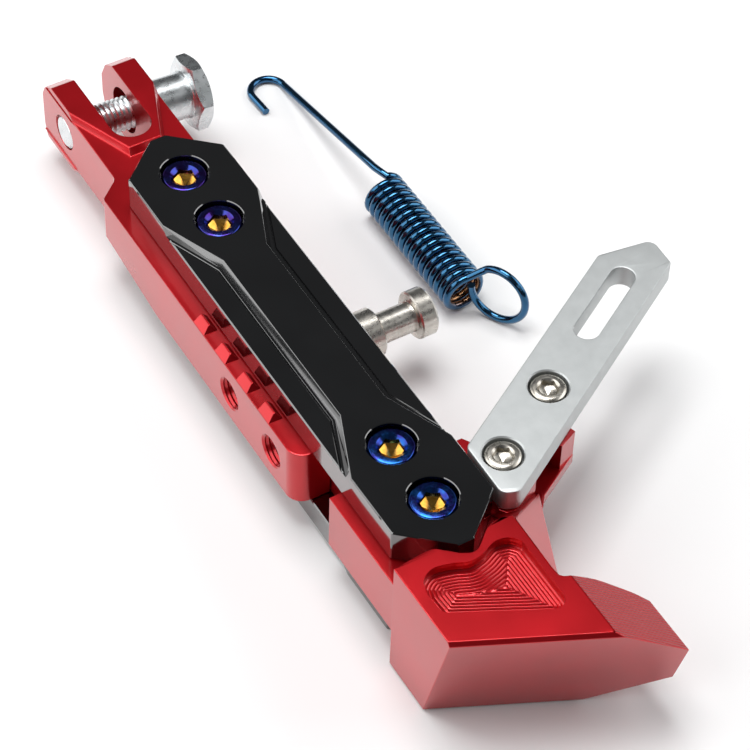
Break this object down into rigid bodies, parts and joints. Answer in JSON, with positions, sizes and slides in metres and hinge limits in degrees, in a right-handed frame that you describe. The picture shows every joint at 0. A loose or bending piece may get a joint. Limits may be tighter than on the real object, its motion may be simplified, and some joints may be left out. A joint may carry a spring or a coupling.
{
  "type": "motorcycle side kickstand",
  "caption": "Adjustable motorcycle side stand: forked arm, cover plates, sliding slanted foot with a kick tab, pivot bolt, spring stud and a loose return spring.",
  "frame": {"origin": "centre of the pivot bolt's tip, flush with the fork's left ear, on the pivot axis", "axes": "+X along the pivot bolt towards its hex head, +Y up the leg towards the pivot, +Z out of the front cover plate; the stand lies on its rear plate with -Z down"},
  "size_m": [0.119, 0.2615, 0.04],
  "materials": {
    "red_anodised": "glossy red anodised aluminium",
    "black_anodised": "glossy black anodised aluminium",
    "satin_aluminium": "satin bare aluminium with fine wear",
    "turned_steel": "turned and plated steel",
    "zinc_plate": "bright zinc plate",
    "blued_titanium": "heat-coloured titanium with a gold socket",
    "blued_wire": "blue heat-coloured wire"
  },
  "bodies": {
    "pivot": {"pivot_bolt": "zinc_plate"},
    "leg": {"fork_arm": "red_anodised", "front_plate": "black_anodised", "rear_plate": "black_anodised", "spring_stud": "turned_steel", "plate_bolt_1": "blued_titanium", "plate_bolt_2": "blued_titanium", "plate_bolt_3": "blued_titanium", "plate_bolt_4": "blued_titanium", "plate_washer_1": "turned_steel", "plate_washer_2": "turned_steel", "plate_washer_3": "turned_steel", "plate_washer_4": "turned_steel", "plate_nut_1": "zinc_plate", "plate_nut_2": "zinc_plate", "plate_nut_3": "zinc_plate", "plate_nut_4": "zinc_plate"},
    "foot": {"foot": "red_anodised", "kick_tab": "satin_aluminium", "tab_screw_1": "turned_steel", "tab_screw_2": "turned_steel"},
    "spring": {"return_spring": "blued_wire"}
  },
  "joints": [
    {"name": "stand_swing", "type": "hinge", "parent": "pivot", "child": "leg", "pos_m": [0, 0, 0], "axis": [-1, 0, 0], "range_deg": [0, 105]},
    {"name": "length_adjust", "type": "slide", "parent": "leg", "child": "foot", "axis": [0, -1, 0], "range_m": [0, 0.012]},
    {"name": "spring_lift", "type": "slide", "parent": "pivot", "child": "spring", "axis": [0, 0, 1], "range_m": [0, 0.05]}
  ]
}
